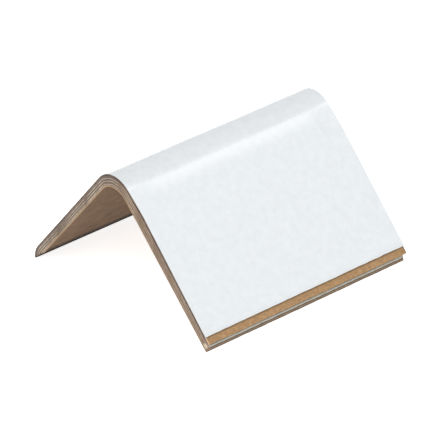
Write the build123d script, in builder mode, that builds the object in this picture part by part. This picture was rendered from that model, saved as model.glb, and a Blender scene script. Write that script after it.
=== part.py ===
from build123d import *
import os
from math import atan2, cos, radians, sin

# Strapping corner protector: an angle of laminated paperboard that a strap pulls down
# over the corner of a pack. Six plies are glued face to face and formed round one bend.
# It stands as a ridge on its two free edges, with the ridge along Y and the left leg
# towards -X. All sizes are in millimetres and degrees.

# Driving dimensions of the board
length = 63.5  # sawn square at both ends
left_slope = 41.9  # outer face of the left leg, from the vertical
right_slope = 41.0  # outer face of the right leg, below its shoulder
bend_radius = 7.5  # outside of the bend
inner_bend_radius = 5.7

# The outer face of the right leg swells next to the bend and eases into the flat at a shoulder
shoulder_turn = 5.5
shoulder_reach = 14.8  # from the sharp outer corner that the bend rounds off
shoulder_radius = 18.0
inner_shoulder_radius = 60.0

# Depth of the wall, square to the outer face
left_wall = 2.4  # at the start of the curled edge
corner_depth = 4.0  # from the sharp outer corner to the sharp inner one
shoulder_wall = 3.55  # the wet stack is looser here
right_edge_wall = 2.65  # and is pressed tight along its free edge

# Reach of the legs, from the sharp outer corner
curl_start = 46.0  # the left edge curls inwards from here
curl_radius = 6.0
right_reach = 49.8


def down_along(slope, distance):
    """A step down a face at this slope: a positive one leads to the right."""
    return Vector(sin(radians(slope)), -cos(radians(slope))) * distance


def inwards(slope, depth):
    """A step square to that face, into the wall."""
    side = 1 if slope > 0 else -1
    return Vector(cos(radians(slope)), sin(radians(slope))) * -side * depth


# The outer outline of the wall and its inner one each have four points: left, corner,
# shoulder and right. Every glue line lies a fixed share of the way between the two.
shoulder_point = down_along(right_slope + shoulder_turn, shoulder_reach)
outer_outline = [
    down_along(-left_slope, curl_start),
    Vector(0, 0),
    shoulder_point,
    shoulder_point + down_along(right_slope, right_reach - shoulder_reach),
]
inner_outline = [
    outer_outline[0] + inwards(-left_slope, left_wall),
    Vector(0, -corner_depth),
    outer_outline[2] + inwards(right_slope, shoulder_wall),
    outer_outline[3] + inwards(right_slope, right_edge_wall),
]


def glue_line(share):
    """The four points of one glue line, and the radii at its corner and shoulder."""
    points = [a + (b - a) * share for a, b in zip(outer_outline, inner_outline)]
    at_bend = bend_radius + (inner_bend_radius - bend_radius) * share
    at_shoulder = shoulder_radius + (inner_shoulder_radius - shoulder_radius) * share
    return points, [at_bend, at_shoulder]


def ply_section(outer, inner, right_setback, curl=0.0, left_setback=0.0):
    """Section of the ply between two glue lines.

    The right edge stops short of the longest ply by right_setback. The left edge either
    follows the curl through the angle curl, or stops short of it by left_setback.
    """
    with BuildSketch() as section:
        with BuildLine():
            left_ends, right_ends = [], []
            for share in (outer, inner):
                (left, corner, shoulder, right), radii = glue_line(share)
                left += (corner - left).normalized() * left_setback
                right += (shoulder - right).normalized() * right_setback
                wrap = FilletPolyline(left, corner, shoulder, right, radius=radii)
                right_ends.append(wrap @ 1)
                if curl:
                    turn = JernArc(wrap @ 0, (wrap % 0) * -1, curl_radius - share * left_wall, curl)
                    left_ends.append(turn @ 1)
                else:
                    left_ends.append(wrap @ 0)
            Line(*left_ends)
            Line(*right_ends)
        make_face()
    return section.sketch


# Depth shares of the six plies: two thin faced sheets, three boards and an inner sheet
white_face, kraft_face, outer_board, middle_board, inner_board, inner_sheet = (
    (0.00, 0.09),
    (0.09, 0.20),
    (0.20, 0.42),
    (0.42, 0.64),
    (0.64, 0.87),
    (0.87, 1.00),
)

# The plies are laid up in steps, so that each edge shows them one after the other. On the
# right the outer ones stop short. On the left they are the longest, and close over the rest.
white_section = ply_section(*white_face, right_setback=3.0, curl=39)
kraft_section = ply_section(*kraft_face, right_setback=1.1, curl=40)
outer_board_section = ply_section(*outer_board, right_setback=0.55, curl=33)
middle_board_section = ply_section(*middle_board, right_setback=0.1, curl=24)
inner_board_section = ply_section(*inner_board, right_setback=0.15, curl=10)
inner_liner_section = ply_section(*inner_sheet, right_setback=0.0, left_setback=0.5)

# How it comes to rest: turned until the lowest corner of each leg is on the floor
corners = [
    vertex.center()
    for section in (white_section, kraft_section, outer_board_section, inner_liner_section)
    for vertex in section.vertices()
]


def height(point, tilt):
    return point.X * sin(tilt) + point.Y * cos(tilt)


def sideways(point, tilt):
    return point.X * cos(tilt) - point.Y * sin(tilt)


rest_tilt = 0.0
for _ in range(3):
    left_foot = min((p for p in corners if p.X < 0), key=lambda p: height(p, rest_tilt))
    right_foot = min((p for p in corners if p.X > 0), key=lambda p: height(p, rest_tilt))
    rest_tilt = atan2(left_foot.Y - right_foot.Y, right_foot.X - left_foot.X)

reach = [sideways(p, rest_tilt) for p in corners]
rest_plane = Plane(
    origin=((min(reach) + max(reach)) / -2, 0, -height(left_foot, rest_tilt)),
    x_dir=(cos(rest_tilt), 0, sin(rest_tilt)),
    z_dir=(0, -1, 0),
)

os.makedirs("parts", exist_ok=True)

# Outer liner, clay coated and white, which the strap bears on
with BuildPart() as white_liner:
    with BuildSketch(rest_plane):
        add(white_section)
    extrude(amount=length / 2, both=True)
white_liner.part.label = "white_liner"
export_step(white_liner.part, "parts/white_liner.step")

# Tan kraft sheet below the liner, seen as the broad band along the right edge
with BuildPart() as kraft_ply:
    with BuildSketch(rest_plane):
        add(kraft_section)
    extrude(amount=length / 2, both=True)
kraft_ply.part.label = "kraft_ply"
export_step(kraft_ply.part, "parts/kraft_ply.step")

# Grey chipboard, the first of the three thick plies
with BuildPart() as outer_board_ply:
    with BuildSketch(rest_plane):
        add(outer_board_section)
    extrude(amount=length / 2, both=True)
outer_board_ply.part.label = "outer_board_ply"
export_step(outer_board_ply.part, "parts/outer_board_ply.step")

# Brown chipboard in the middle of the wall
with BuildPart() as middle_board_ply:
    with BuildSketch(rest_plane):
        add(middle_board_section)
    extrude(amount=length / 2, both=True)
middle_board_ply.part.label = "middle_board_ply"
export_step(middle_board_ply.part, "parts/middle_board_ply.step")

# Brown chipboard under the inner liner
with BuildPart() as inner_board_ply:
    with BuildSketch(rest_plane):
        add(inner_board_section)
    extrude(amount=length / 2, both=True)
inner_board_ply.part.label = "inner_board_ply"
export_step(inner_board_ply.part, "parts/inner_board_ply.step")

# Inner liner of brown kraft, which lies against the pack
with BuildPart() as inner_liner:
    with BuildSketch(rest_plane):
        add(inner_liner_section)
    extrude(amount=length / 2, both=True)
inner_liner.part.label = "inner_liner"
export_step(inner_liner.part, "parts/inner_liner.step")
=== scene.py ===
from math import cos, pi, radians, sin

import bmesh
import bpy
from mathutils import Matrix, Vector


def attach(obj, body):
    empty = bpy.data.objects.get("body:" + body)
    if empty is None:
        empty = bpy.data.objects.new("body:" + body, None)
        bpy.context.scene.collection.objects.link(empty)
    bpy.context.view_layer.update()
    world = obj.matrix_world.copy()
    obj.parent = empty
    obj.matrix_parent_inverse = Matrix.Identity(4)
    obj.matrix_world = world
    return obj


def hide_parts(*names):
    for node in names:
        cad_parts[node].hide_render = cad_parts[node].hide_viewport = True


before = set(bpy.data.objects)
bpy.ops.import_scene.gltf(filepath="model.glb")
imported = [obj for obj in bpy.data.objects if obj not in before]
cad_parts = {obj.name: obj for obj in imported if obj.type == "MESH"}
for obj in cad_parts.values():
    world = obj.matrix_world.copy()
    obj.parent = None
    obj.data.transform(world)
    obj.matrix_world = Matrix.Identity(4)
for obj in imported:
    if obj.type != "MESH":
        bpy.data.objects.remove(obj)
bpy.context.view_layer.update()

MM = 0.001

# The protector as the CAD states it, in millimetres and degrees
HALF_LENGTH = 31.75
RIGHT_SLOPE = 41.25  # of the right leg's outer face from the vertical, as it rests
LEFT_SLOPE = 41.65
SWELL_SLOPE = 46.75  # of the right face between the bend and the shoulder
BEND_REACH = 4.0  # x of the place where the bend is over and the legs begin
SHOULDER_REACH = 10.5
FREE_EDGE = 20.0  # x beyond which only a leg's lower part and its free edge lie
WHITE_REACH = 17.68  # down the right leg's outer face, to where each outer ply stops
KRAFT_REACH = 19.58
OUTER_BOARD_REACH = 20.13
LINER_REACH = 17.29  # the same down the left leg's inner face
BEND_END = Vector((5.11, 0, 32.92))  # on the outer face, where the bend runs out to the right


def down_a_slope(slope):
    """Direction down a leg; a negative slope is the left leg's."""
    return Vector((sin(radians(slope)), 0, -cos(radians(slope))))


down_the_right_leg = down_a_slope(RIGHT_SLOPE)
down_the_left_leg = down_a_slope(-LEFT_SLOPE)
down_the_swell = down_a_slope(SWELL_SLOPE)
out_of_the_swell = Vector((-down_the_swell.z, 0, down_the_swell.x))


def linear(hex_colour):
    """sRGB hex to the linear colour that a shader socket takes."""
    parts = [int(hex_colour[i : i + 2], 16) / 255 for i in (1, 3, 5)]
    return [c / 12.92 if c <= 0.04045 else ((c + 0.055) / 1.055) ** 2.4 for c in parts] + [1.0]


def add_node(tree, kind, settings=None, inputs=None):
    """Adds a node, with its settings by name and its inputs by name or number. A socket is linked."""
    node = tree.nodes.new(kind)
    for name, value in (settings or {}).items():
        setattr(node, name, value)
    for name, value in (inputs or {}).items():
        if isinstance(value, bpy.types.NodeSocket):
            tree.links.new(value, node.inputs[name])
        else:
            node.inputs[name].default_value = value
    return node


# Shapes


def start_from(node, name):
    """A copy of a node's solid in edit mode, its loose triangles merged into whole faces."""
    piece = bpy.data.objects.new(name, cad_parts[node].data.copy())
    piece.data.name = name
    bpy.context.scene.collection.objects.link(piece)
    bpy.ops.object.select_all(action="DESELECT")
    bpy.context.view_layer.objects.active = piece
    piece.select_set(True)
    bpy.ops.object.mode_set(mode="EDIT")
    bpy.ops.mesh.select_mode(type="VERT")
    bpy.ops.mesh.select_all(action="SELECT")
    bpy.ops.mesh.customdata_custom_splitnormals_clear()
    bpy.ops.mesh.remove_doubles(threshold=0.002 * MM)
    bpy.ops.mesh.dissolve_limited(angle_limit=radians(0.1))
    return piece


def pick(piece, kind, test):
    """Selects only the verts, edges or faces that pass the test, and says how many."""
    modes = {"verts": "VERT", "edges": "EDGE", "faces": "FACE"}
    bpy.ops.mesh.select_mode(type=modes[kind])
    bpy.ops.mesh.select_all(action="DESELECT")
    cage = bmesh.from_edit_mesh(piece.data)
    chosen = [element for element in getattr(cage, kind) if test(element)]
    for element in chosen:
        element.select_set(True)
    bmesh.update_edit_mesh(piece.data)
    return len(chosen)


def middle(edge):
    return (edge.verts[0].co + edge.verts[1].co) / 2


def runs_along_ridge(edge):
    a, b = edge.verts[0].co, edge.verts[1].co
    return abs(a.y - b.y) > 0.9 * (a - b).length


def mark_depth(piece):
    """Writes how deep each vertex lies in its ply, 0 on the outer face and 1 on the inner one.

    Returns the pairs of vertices of the near end that face each other across the ply.
    """
    cage = bmesh.from_edit_mesh(piece.data)
    depth = cage.verts.layers.float.new("depth")
    near_end = min(cage.faces, key=lambda face: face.calc_center_median().y)
    rim = list(near_end.edges)
    right_edge = max(rim, key=lambda edge: middle(edge).x)
    left_edge = min((e for e in rim if middle(e).x < 0), key=lambda edge: middle(edge).z)
    top = max(near_end.verts, key=lambda vert: vert.co.z)
    # walk from the top of the outer face both ways, until a free edge stops it
    outer, front = {top}, [top]
    while front:
        vert = front.pop()
        for edge in vert.link_edges:
            if edge in rim and edge not in (right_edge, left_edge):
                other = edge.other_vert(vert)
                if other not in outer:
                    outer.add(other)
                    front.append(other)
    inner = [vert for vert in near_end.verts if vert not in outer]
    for vert in near_end.verts:
        across = next(e for e in vert.link_edges if runs_along_ridge(e)).other_vert(vert)
        vert[depth] = across[depth] = 0.0 if vert in outer else 1.0
    pairs = []
    for vert in outer:
        facing = min(inner, key=lambda other: (other.co - vert.co).length)
        back = min(outer, key=lambda other: (other.co - facing.co).length)
        joined = any(edge.other_vert(vert) is facing for edge in vert.link_edges)
        if back is vert and not joined:
            pairs.append((vert.co.copy(), facing.co.copy()))
    bmesh.update_edit_mesh(piece.data)
    return pairs


def cut_into_stations(piece, pairs, layers):
    """Divides the ply across the bend, down the legs, through its depth and along the ridge."""
    for a, b in pairs:
        places = {(round(p.x, 7), round(p.z, 7)) for p in (a, b)}
        pick(piece, "verts", lambda v: (round(v.co.x, 7), round(v.co.z, 7)) in places)
        bpy.ops.mesh.vert_connect()

    def down_a_leg(low, high):
        return lambda e: (
            not runs_along_ridge(e)
            and low * MM < middle(e).x < high * MM
            and (e.verts[0].co - e.verts[1].co).length > 4 * MM
        )

    for low, high, cuts in (
        (-FREE_EDGE * 2, -BEND_REACH, 75),
        (BEND_REACH, SHOULDER_REACH, 11),
        (SHOULDER_REACH, FREE_EDGE * 2, 67),
    ):
        if pick(piece, "edges", down_a_leg(low, high)):
            bpy.ops.mesh.subdivide(number_cuts=cuts)

    cage = bmesh.from_edit_mesh(piece.data)
    depth = cage.verts.layers.float["depth"]
    pick(piece, "edges", lambda e: abs(e.verts[0][depth] - e.verts[1][depth]) > 0.5)
    bpy.ops.mesh.subdivide(number_cuts=layers)
    pick(piece, "edges", runs_along_ridge)
    bpy.ops.mesh.subdivide(number_cuts=84)


def soften_rims(piece, width):
    """Breaks the sharp rims of the sawn ends and of the free edges."""
    pick(piece, "edges", lambda e: len(e.link_faces) == 2 and e.calc_face_angle(0) > radians(60))
    bpy.ops.mesh.bevel(offset=width * MM, offset_type="OFFSET", segments=2, profile=0.5)


def weigh(piece, name, weight):
    """A vertex group whose weights are a function of place."""
    group = piece.vertex_groups.new(name=name)
    for vert in piece.data.vertices:
        value = max(0.0, min(1.0, weight(vert.co / MM)))
        if value > 0:
            group.add([vert.index], value, "REPLACE")


def roughen(piece, group, size, direction, amount, middle_level):
    """Moves a group's vertices along one direction by cloud noise of one size, in millimetres."""
    clouds = bpy.data.textures.new(f"{piece.name}_{group}", "CLOUDS")
    clouds.noise_scale = size * MM
    clouds.noise_depth = 2
    for axis, share in zip("XYZ", direction):
        if abs(share) < 1e-6:
            continue
        modifier = piece.modifiers.new(f"{group}_{axis}", "DISPLACE")
        modifier.texture = clouds
        modifier.texture_coords = "LOCAL"
        modifier.direction = axis
        modifier.strength = amount * share * MM
        modifier.mid_level = middle_level
        modifier.vertex_group = group
        bpy.ops.object.modifier_apply(modifier=modifier.name)


def push(piece, group, direction, amount):
    """Moves a group's vertices along one direction by that many millimetres times their weight."""
    for axis, share in zip("XYZ", direction):
        if abs(share) < 1e-6:
            continue
        modifier = piece.modifiers.new(f"{group}_{axis}", "DISPLACE")
        modifier.direction = axis
        modifier.strength = amount * share * MM
        modifier.mid_level = 0.0
        modifier.vertex_group = group
        bpy.ops.object.modifier_apply(modifier=modifier.name)


def smooth_between(value, low, high):
    t = max(0.0, min(1.0, (value - low) / (high - low)))
    return t * t * (3 - 2 * t)


def swell(place):
    """How far the wall stands out next to the bend, as a share, so that it turns steadily there."""
    if place.x < 0:
        return 0.0
    along = (place - BEND_END).dot(down_the_swell)
    across = smooth_between(along, -3.5, 3.0) * (1 - smooth_between(along, 3.0, 12.0))
    return across * (1 - smooth_between(abs(place.y), 23.0, 31.0))


def wear_far_corner(piece, reach, loss):
    """Crushes the far right corner back along the ridge, by that many millimetres."""
    pick(
        piece, "verts",
        lambda v: v.co.y > (HALF_LENGTH - 0.1) * MM and v.co.dot(down_the_right_leg) > (reach - 0.1) * MM,
    )
    bpy.ops.transform.translate(
        value=(0, -loss * MM, 0), use_proportional_edit=True,
        proportional_edit_falloff="SMOOTH", proportional_size=6 * MM,
    )


def make_ply(node, name, layers, rim, end_setback, edge_wander, corner_loss):
    piece = start_from(node, name)
    pairs = mark_depth(piece)
    cut_into_stations(piece, pairs, layers)
    soften_rims(piece, rim)
    reach = max(v.co.dot(down_the_right_leg) for v in bmesh.from_edit_mesh(piece.data).verts) / MM
    if corner_loss:
        wear_far_corner(piece, reach, corner_loss)
    bpy.ops.mesh.select_all(action="SELECT")
    bpy.ops.object.mode_set(mode="OBJECT")
    weigh(piece, "near_end", lambda p: smooth_between(-p.y, HALF_LENGTH - 0.03, HALF_LENGTH - 0.005))
    weigh(piece, "far_end", lambda p: smooth_between(p.y, HALF_LENGTH - 0.03, HALF_LENGTH - 0.005))
    weigh(
        piece,
        "right_edge",
        lambda p: smooth_between(p.dot(down_the_right_leg), reach - 1.5, reach - 0.02),
    )
    weigh(piece, "board", lambda p: smooth_between(p.z, 3.0, 14.0))
    weigh(piece, "swell", swell)
    # the saw leaves each ply a little deeper or prouder than the next, and fuzzy
    for group, side in (("near_end", 1), ("far_end", -1)):
        roughen(piece, group, 0.5, (0, side, 0), 0.16, -end_setback / 0.16)
    roughen(piece, "right_edge", 2.6, tuple(-down_the_right_leg), edge_wander, 0.0)
    # the whole stack is a little wavy, all plies alike, so that they stay nested
    roughen(piece, "board", 17.0, (0, 0, 1), 0.14, 0.8)
    push(piece, "swell", out_of_the_swell, 0.25)
    piece.vertex_groups.clear()
    bpy.ops.object.shade_smooth_by_angle(angle=radians(32))
    piece.data.materials.clear()
    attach(piece, "root")
    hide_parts(node)
    return piece


# Materials


def new_material(name):
    material = bpy.data.materials.new(name)
    material.use_nodes = True
    return material, material.node_tree, material.node_tree.nodes["Principled BSDF"]


def per_mm(size):
    """Noise scale for features of that size in millimetres, as Object coordinates are metres."""
    return 1 / (size * MM)


def sawn_layers(tree, place, depth):
    """Shade from 0 to 1 of the layers inside one ply, as the saw shows them.

    A sheet is made up of thin formed layers. They run along the section, so the noise is
    stretched that way: fine through the depth, and long in x.
    """
    axes = add_node(tree, "ShaderNodeSeparateXYZ", None, {0: place})
    through = add_node(tree, "ShaderNodeMath", {"operation": "MULTIPLY"}, {0: depth, 1: 2.6})
    along = add_node(
        tree, "ShaderNodeMath", {"operation": "MULTIPLY"}, {0: axes.outputs[0], 1: per_mm(4.0)}
    )
    side = add_node(
        tree, "ShaderNodeMath", {"operation": "MULTIPLY"}, {0: axes.outputs[1], 1: per_mm(4.0)}
    )
    lay = add_node(
        tree, "ShaderNodeCombineXYZ", None,
        {0: through.outputs[0], 1: along.outputs[0], 2: side.outputs[0]},
    )
    streaks = add_node(
        tree, "ShaderNodeTexNoise", None,
        {"Vector": lay.outputs[0], "Scale": 1.0, "Detail": 3.0, "Roughness": 0.6},
    )
    return add_node(
        tree, "ShaderNodeMapRange", {"interpolation_type": "SMOOTHSTEP"},
        {"Value": streaks.outputs[0], "From Min": 0.3, "From Max": 0.7},
    ).outputs[0]


def sawn_colour(tree, place, depth, glue_line, body, crest, glue_share):
    """Colour of the sawn end of a ply: dark along its glue lines, with a pale line of torn
    fibres beside the inner one, and faint frayed patches about 1 mm across."""
    from_middle = add_node(tree, "ShaderNodeMath", {"operation": "SUBTRACT"}, {0: depth, 1: 0.5})
    away = add_node(tree, "ShaderNodeMath", {"operation": "ABSOLUTE"}, {0: from_middle.outputs[0]})
    in_body = add_node(
        tree, "ShaderNodeMapRange", {"interpolation_type": "SMOOTHSTEP"},
        {"Value": away.outputs[0], "From Min": 0.5, "From Max": 0.5 - glue_share},
    )
    layers = sawn_layers(tree, place, depth)
    shade = add_node(tree, "ShaderNodeMapRange", None, {"Value": layers, "To Min": 0.55, "To Max": 1.0})
    amount = add_node(
        tree, "ShaderNodeMath", {"operation": "MULTIPLY"},
        {0: in_body.outputs[0], 1: shade.outputs[0]},
    )
    wall = add_node(
        tree, "ShaderNodeMix", {"data_type": "RGBA"},
        {0: amount.outputs[0], 6: linear(glue_line), 7: linear(body)},
    ).outputs[2]
    from_crest = add_node(tree, "ShaderNodeMath", {"operation": "SUBTRACT"}, {0: depth, 1: 0.7})
    off_crest = add_node(tree, "ShaderNodeMath", {"operation": "ABSOLUTE"}, {0: from_crest.outputs[0]})
    on_crest = add_node(
        tree, "ShaderNodeMapRange", {"interpolation_type": "SMOOTHSTEP"},
        {"Value": off_crest.outputs[0], "From Min": 0.2, "From Max": 0.08},
    )
    torn = add_node(
        tree, "ShaderNodeMapRange", None, {"Value": layers, "From Min": 0.2, "From Max": 0.6, "To Max": 0.9}
    )
    share = add_node(
        tree, "ShaderNodeMath", {"operation": "MULTIPLY"}, {0: on_crest.outputs[0], 1: torn.outputs[0]}
    )
    lined = add_node(
        tree, "ShaderNodeMix", {"data_type": "RGBA"}, {0: share.outputs[0], 6: wall, 7: linear(crest)}
    ).outputs[2]
    frays = add_node(
        tree, "ShaderNodeTexNoise", None,
        {"Vector": place, "Scale": per_mm(1.1), "Detail": 3.0, "Roughness": 0.6},
    ).outputs[0]
    patches = add_node(
        tree, "ShaderNodeMapRange", None,
        {"Value": frays, "From Min": 0.3, "From Max": 0.7, "To Min": 0.84, "To Max": 1.12},
    )
    return add_node(
        tree, "ShaderNodeVectorMath", {"operation": "SCALE"}, {0: lined, "Scale": patches.outputs[0]}
    ).outputs[0]


def paper_fibres(tree, place, size):
    """Long paper fibres of about that width in millimetres, lying mostly along the ridge."""
    stretched = add_node(
        tree, "ShaderNodeMapping", None,
        {"Vector": place, "Scale": (per_mm(size), per_mm(size * 7), per_mm(size))},
    )
    return add_node(
        tree, "ShaderNodeTexNoise", None,
        {"Vector": stretched.outputs[0], "Scale": 1.0, "Detail": 4.0, "Roughness": 0.65},
    ).outputs[0]


def sheet_colour(tree, place, pale, dark, fibre, cloud):
    """Colour of a sheet's open face: fibres, and the cloudy formation of the pulp."""
    fibres = paper_fibres(tree, place, fibre)
    clouds = add_node(
        tree, "ShaderNodeTexNoise", None,
        {"Vector": place, "Scale": per_mm(cloud), "Detail": 2.0, "Roughness": 0.5},
    ).outputs[0]
    both = add_node(tree, "ShaderNodeMath", {"operation": "ADD"}, {0: fibres, 1: clouds})
    amount = add_node(
        tree, "ShaderNodeMapRange", None,
        {"Value": both.outputs[0], "From Min": 0.65, "From Max": 1.35},
    )
    return add_node(
        tree, "ShaderNodeMix", {"data_type": "RGBA"},
        {0: amount.outputs[0], 6: linear(dark), 7: linear(pale)},
    ).outputs[2]


# used for the painted shadows beside the ply edges and at the left foot, and for the white liner's darker
# lower edge
def darken_towards_edge(tree, place, colour, edge_darkening, direction, none_at, full_at, strength):
    """Darkens a sheet towards an edge. The two limits are millimetres along that direction."""
    along = add_node(
        tree, "ShaderNodeVectorMath", {"operation": "DOT_PRODUCT"}, {0: place, 1: direction}
    )
    patchy = add_node(
        tree, "ShaderNodeTexNoise", None, {"Vector": place, "Scale": per_mm(0.9), "Detail": 2.0}
    )
    wander = add_node(
        tree, "ShaderNodeMath", {"operation": "MULTIPLY_ADD"},
        {0: patchy.outputs[0], 1: (full_at - none_at) * 0.8 * MM, 2: along.outputs["Value"]},
    )
    amount = add_node(
        tree, "ShaderNodeMapRange", {"interpolation_type": "SMOOTHSTEP"},
        {
            "Value": wander.outputs[0],
            "From Min": (none_at + (full_at - none_at) * 0.4) * MM,
            "From Max": (full_at + (full_at - none_at) * 0.4) * MM,
            "To Max": strength,
        },
    )
    return add_node(
        tree, "ShaderNodeMix", {"data_type": "RGBA"}, {0: amount.outputs[0], 6: colour, 7: linear(edge_darkening)}
    ).outputs[2]


def open_surface(tree, depth, face):
    """1 on the ply's open face and 0 where it is cut. face is 0 for the outer one, 1 for the inner."""
    return add_node(
        tree, "ShaderNodeMapRange", None,
        {"Value": depth, "From Min": 0.12 if face == 0 else 0.88, "From Max": 0.02 if face == 0 else 0.98},
    ).outputs[0]


def paper_bump(tree, place, shader, size, height):
    """Fuzz of an uncoated sheet: fibres that stand up by a few hundredths of a millimetre."""
    grain = paper_fibres(tree, place, size)
    bump = add_node(
        tree, "ShaderNodeBump", None,
        {"Strength": 1.0, "Distance": height * MM, "Height": grain},
    )
    tree.links.new(bump.outputs[0], shader.inputs["Normal"])


def ply_material(
    name, face, pale, dark, edge_darkening, cut, hidden, near_rim_fibres_and_highlight,
    glue_share=0.3, fibre=0.16, cloud=0.9, roughness=0.88,
):
    """Uncoated board or kraft: an open face of fibres, and layered sawn ends.

    The face is darkened along one edge with painted shade, as the tuple after dark says: its colour, the
    direction, the two limits and the strength. This is the shadow beside the edge of the ply above it, and
    for the inner liner the contact shadow at the left foot. cut holds the colours of the glue line, the
    body and the torn fibres.
    The other face is hidden in the stack, except along the shingled left edge, where it is painted near
    black as the shade in the recess under the curled plies. A band of torn fibres lies along the saw cuts;
    at the near end it is painted pale, as torn fibres and as a painted highlight where the rim catches the
    light.
    """
    material, tree, shader = new_material(name)
    place = add_node(tree, "ShaderNodeTexCoord").outputs["Object"]
    depth = add_node(tree, "ShaderNodeAttribute", {"attribute_name": "depth"}).outputs["Fac"]
    axes = add_node(tree, "ShaderNodeSeparateXYZ", None, {0: place})
    sheet = darken_towards_edge(tree, place, sheet_colour(tree, place, pale, dark, fibre, cloud), *edge_darkening)
    from_middle = add_node(tree, "ShaderNodeMath", {"operation": "ABSOLUTE"}, {0: axes.outputs[1]})
    # the near end's rim is painted pale: torn fibres, and a painted highlight where the rim catches the
    # light; the far one is crushed and dark
    at_far_end = add_node(
        tree, "ShaderNodeMapRange", None, {"Value": axes.outputs[1], "From Min": -MM, "From Max": MM}
    )
    end_rim_tone = add_node(
        tree, "ShaderNodeMix", {"data_type": "RGBA"},
        {0: at_far_end.outputs[0], 6: linear(near_rim_fibres_and_highlight), 7: linear(hidden)},
    )
    at_the_rims = add_node(
        tree, "ShaderNodeMapRange", {"interpolation_type": "SMOOTHSTEP"},
        {
            "Value": from_middle.outputs[0], "From Min": (HALF_LENGTH - 0.65) * MM,
            "From Max": (HALF_LENGTH - 0.25) * MM, "To Max": 0.8,
        },
    )
    sheet_with_end_rims = add_node(
        tree, "ShaderNodeMix", {"data_type": "RGBA"},
        {0: at_the_rims.outputs[0], 6: sheet, 7: end_rim_tone.outputs[2]},
    ).outputs[2]
    sawn = sawn_colour(tree, place, depth, *cut, glue_share)
    # the blade left the left leg's lines crisp and grey, and smeared the right one's warm
    side = add_node(
        tree, "ShaderNodeMapRange", {"interpolation_type": "SMOOTHSTEP"},
        {"Value": axes.outputs[0], "From Min": 5 * MM, "From Max": -3 * MM},
    )
    smear = add_node(
        tree, "ShaderNodeMapRange", None, {"Value": side.outputs[0], "To Min": 0.5, "To Max": 0.0}
    )
    burnished = add_node(
        tree, "ShaderNodeMix", {"data_type": "RGBA"},
        {0: smear.outputs[0], 6: sawn, 7: linear("#8D7560")},
    ).outputs[2]
    # and it tore a pale patch open at the near right foot
    from_patch = add_node(
        tree, "ShaderNodeVectorMath", {"operation": "DISTANCE"},
        {0: place, 1: Vector((31.2, -HALF_LENGTH, 1.75)) * MM},
    )
    torn = add_node(
        tree, "ShaderNodeMapRange", {"interpolation_type": "SMOOTHSTEP"},
        {"Value": from_patch.outputs[1], "From Min": 1.05 * MM, "From Max": 0.3 * MM, "To Max": 0.85},
    )
    ends = add_node(
        tree, "ShaderNodeMix", {"data_type": "RGBA"},
        {0: torn.outputs[0], 6: burnished, 7: linear("#E0CDB2")},
    ).outputs[2]
    opened = add_node(
        tree, "ShaderNodeMix", {"data_type": "RGBA"},
        {0: open_surface(tree, depth, face), 6: ends, 7: sheet_with_end_rims},
    ).outputs[2]
    # the other face is painted near black; where it shows, along the shingled left edge, this is painted
    # shade in the recess under the curled plies
    inner_face_shade = add_node(
        tree, "ShaderNodeMix", {"data_type": "RGBA"},
        {0: at_the_rims.outputs[0], 6: linear(hidden), 7: linear(cut[1])},
    ).outputs[2]
    colour = add_node(
        tree, "ShaderNodeMix", {"data_type": "RGBA"},
        {0: open_surface(tree, depth, 1 - face), 6: opened, 7: inner_face_shade},
    )
    tree.links.new(colour.outputs[2], shader.inputs["Base Color"])
    shader.inputs["Roughness"].default_value = roughness
    shader.inputs["Specular IOR Level"].default_value = 0.3
    paper_bump(tree, place, shader, fibre, 0.03)
    return material


def coated_white_top():
    """Clay coated white-top liner. The clay skin is smooth and semi gloss. The pulp below is
    grey-brown and recycled, and shows wherever the sheet is cut."""
    material, tree, shader = new_material("clay_coated_white_top_liner")
    place = add_node(tree, "ShaderNodeTexCoord").outputs["Object"]
    depth = add_node(tree, "ShaderNodeAttribute", {"attribute_name": "depth"}).outputs["Fac"]
    clouds = add_node(
        tree, "ShaderNodeTexNoise", None,
        {"Vector": place, "Scale": per_mm(1.8), "Detail": 3.0, "Roughness": 0.6},
    ).outputs[0]
    amount = add_node(
        tree, "ShaderNodeMapRange", None, {"Value": clouds, "From Min": 0.3, "From Max": 0.7}
    )
    coat = add_node(
        tree, "ShaderNodeMix", {"data_type": "RGBA"},
        {0: amount.outputs[0], 6: linear("#D8DCDF"), 7: linear("#DEE2E4")},
    )
    # it is a little darker towards its lower edge
    darker_low_edge = darken_towards_edge(
        tree, place, coat.outputs[2], "#CDCDCB", down_the_right_leg, WHITE_REACH - 1.2, WHITE_REACH, 0.4
    )
    sawn = sawn_colour(tree, place, depth, "#4C4039", "#6E6259", "#8C8074", 0.3)
    skin = add_node(
        tree, "ShaderNodeMapRange", None, {"Value": depth, "From Min": 0.14, "From Max": 0.04}
    )
    colour = add_node(
        tree, "ShaderNodeMix", {"data_type": "RGBA"}, {0: skin.outputs[0], 6: sawn, 7: darker_low_edge}
    )
    tree.links.new(colour.outputs[2], shader.inputs["Base Color"])
    # the coating takes a slight orange peel from the rolls, about 1.5 mm across
    peel = add_node(
        tree, "ShaderNodeTexNoise", None,
        {"Vector": place, "Scale": per_mm(1.5), "Detail": 2.0, "Roughness": 0.5},
    )
    bump = add_node(
        tree, "ShaderNodeBump", None,
        {"Strength": 1.0, "Distance": 0.008 * MM, "Height": peel.outputs[0]},
    )
    tree.links.new(bump.outputs[0], shader.inputs["Normal"])
    gloss = add_node(
        tree, "ShaderNodeMapRange", None, {"Value": clouds, "To Min": 0.22, "To Max": 0.27}
    )
    rough = add_node(
        tree, "ShaderNodeMix", {"data_type": "FLOAT"}, {0: skin.outputs[0], 2: 0.9, 3: gloss.outputs[0]}
    )
    tree.links.new(rough.outputs[0], shader.inputs["Roughness"])
    return material


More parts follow.
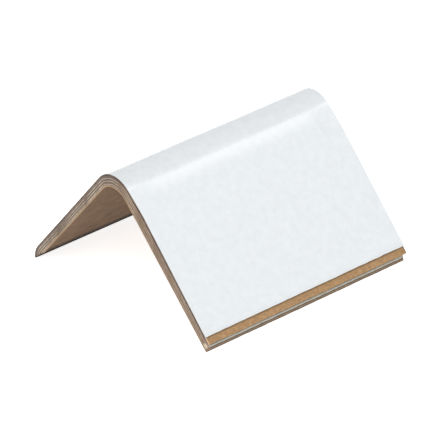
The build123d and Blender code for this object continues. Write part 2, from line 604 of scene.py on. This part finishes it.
def floor_paper():
    """Matt white background paper, with a faint tooth."""
    material, tree, shader = new_material("matt_background_paper")
    place = add_node(tree, "ShaderNodeTexCoord").outputs["Object"]
    tooth = add_node(
        tree, "ShaderNodeTexNoise", None, {"Vector": place, "Scale": per_mm(1.0), "Detail": 2.0}
    )
    colour = add_node(
        tree, "ShaderNodeMix", {"data_type": "RGBA"},
        {0: tooth.outputs[0], 6: linear("#F9F9F9"), 7: linear("#FCFCFC")},
    )
    tree.links.new(colour.outputs[2], shader.inputs["Base Color"])
    shader.inputs["Roughness"].default_value = 1.0
    shader.inputs["Specular IOR Level"].default_value = 0.0
    # it lies on a light table, which keeps the shadows pale
    shader.inputs["Emission Color"].default_value = linear("#FFFFFF")
    shader.inputs["Emission Strength"].default_value = 0.8
    return material


# Camera, stage and light


def make_camera():
    """A long lens from the photo's side, aimed at a point near the middle of the object."""
    azimuth, elevation, roll = radians(50.06), radians(28.67), radians(-2.12)
    distance = 1077 * MM
    aim = Vector((0.31, 0, 11.06)) * MM
    pixels_per_mm = 4.144
    back = Vector((sin(azimuth) * cos(elevation), -cos(azimuth) * cos(elevation), sin(elevation)))
    camera = bpy.data.objects.new("camera", bpy.data.cameras.new("camera"))
    bpy.context.collection.objects.link(camera)
    turn = (-back).to_track_quat("-Z", "Y").to_matrix() @ Matrix.Rotation(roll, 3, "Z")
    camera.matrix_world = Matrix.Translation(aim + back * distance) @ turn.to_4x4()
    camera.data.sensor_width = 36
    camera.data.lens = pixels_per_mm * distance / MM * camera.data.sensor_width / 440
    bpy.context.scene.camera = camera


def add_light(name, direction, distance, size, radiance, along=(0, 0, 1)):
    """A softbox in that direction from the object, facing it, its first side lying along a line."""
    lamp = bpy.data.objects.new(name, bpy.data.lights.new(name, "AREA"))
    bpy.context.collection.objects.link(lamp)
    lamp.data.shape = "RECTANGLE"
    lamp.data.size, lamp.data.size_y = size
    lamp.data.energy = radiance * pi * size[0] * size[1]
    back = Vector(direction).normalized()
    side = (Vector(along) - back * back.dot(Vector(along))).normalized()
    turn = Matrix((side, back.cross(side), back)).transposed()
    lamp.matrix_world = Matrix.Translation(Vector((0, 0, 15 * MM)) + back * distance) @ turn.to_4x4()


def make_stage():
    bpy.ops.object.select_all(action="DESELECT")
    bpy.ops.mesh.primitive_plane_add(size=6, location=(0, 0, 0))
    floor = bpy.context.object
    floor.name = "floor"
    floor.data.materials.append(floor_paper())
    world = bpy.data.worlds.new("studio")
    world.use_nodes = True
    world.node_tree.nodes["Background"].inputs["Color"].default_value = linear("#FFFFFF")
    world.node_tree.nodes["Background"].inputs["Strength"].default_value = 0.75
    bpy.context.scene.world = world
    bpy.context.scene.view_settings.view_transform = "Standard"


make_camera()
make_stage()
add_light("key_softbox", (0.3, -0.4, 0.95), 1.5, (1.0, 1.0), 2.2)
add_light("streak_softbox", (0.329, 0.563, 0.757), 1.2, (0.2, 0.11), 10.0, along=(0, 1, 0))
add_light("low_front_fill", (-0.45, -0.85, 0.33), 1.3, (0.9, 0.6), 0.8)

white_top = coated_white_top()
# each ply's open face has a dark line painted beside the edge of the ply above it: painted shadow, cast by
# that edge
kraft = ply_material(
    "tan_kraft", 0, "#B7936B", "#8C6D4B",
    ("#5A4630", down_the_right_leg, WHITE_REACH + 0.45, WHITE_REACH + 0.1, 0.5),
    ("#261F1B", "#50453F", "#83766A"), "#33261B", "#CBAE90",
)
grey_board = ply_material(
    "grey_chipboard", 0, "#BABAB1", "#94938A",
    ("#6A5C4C", down_the_right_leg, KRAFT_REACH + 0.25, KRAFT_REACH + 0.05, 0.45),
    ("#261F1B", "#76675C", "#BFB2A4"), "#221A15", "#B5AA9C",
)
brown_board = ply_material(
    "brown_chipboard", 0, "#97836D", "#776451",
    ("#584A3C", down_the_right_leg, OUTER_BOARD_REACH + 0.2, OUTER_BOARD_REACH, 0.4),
    ("#2C241F", "#7C6D5E", "#C5B7A6"), "#1A130F", "#9A8772",
)
# the inner liner darkens to near black towards its left foot: painted shade, the contact shadow where the
# leg meets the floor
inside_kraft = ply_material(
    "brown_kraft", 1, "#755A42", "#58432F",
    ("#1A120D", down_the_left_leg, LINER_REACH - 2.8, LINER_REACH - 0.1, 0.9),
    ("#75624F", "#A68B6F", "#BEA687"), "#33271F", "#8A705B",
    cloud=3.0,
)

for node, name, slot, material, layers, rim, setback, wander, loss in (
    ("white_liner", "coated_white_liner", "white_coated_liner", white_top, 2, 0.03, 0.0, 0.2, 0),
    ("kraft_ply", "tan_kraft_sheet", "tan_kraft", kraft, 2, 0.03, 0.03, 0.15, 0.25),
    ("outer_board_ply", "grey_outer_board", "grey_chipboard", grey_board, 3, 0.05, 0.0, 0.2, 1.4),
    ("middle_board_ply", "brown_middle_board", "brown_chipboard", brown_board, 3, 0.05, 0.05, 0.2, 1.2),
    ("inner_board_ply", "brown_inner_board", "brown_chipboard", brown_board, 3, 0.05, 0.02, 0.15, 0.9),
    ("inner_liner", "brown_kraft_liner", "brown_kraft", inside_kraft, 2, 0.04, 0.0, 0.12, 0.5),
):
    piece = make_ply(node, name, layers, rim, setback, wander, loss)
    piece.data.materials.append(material)
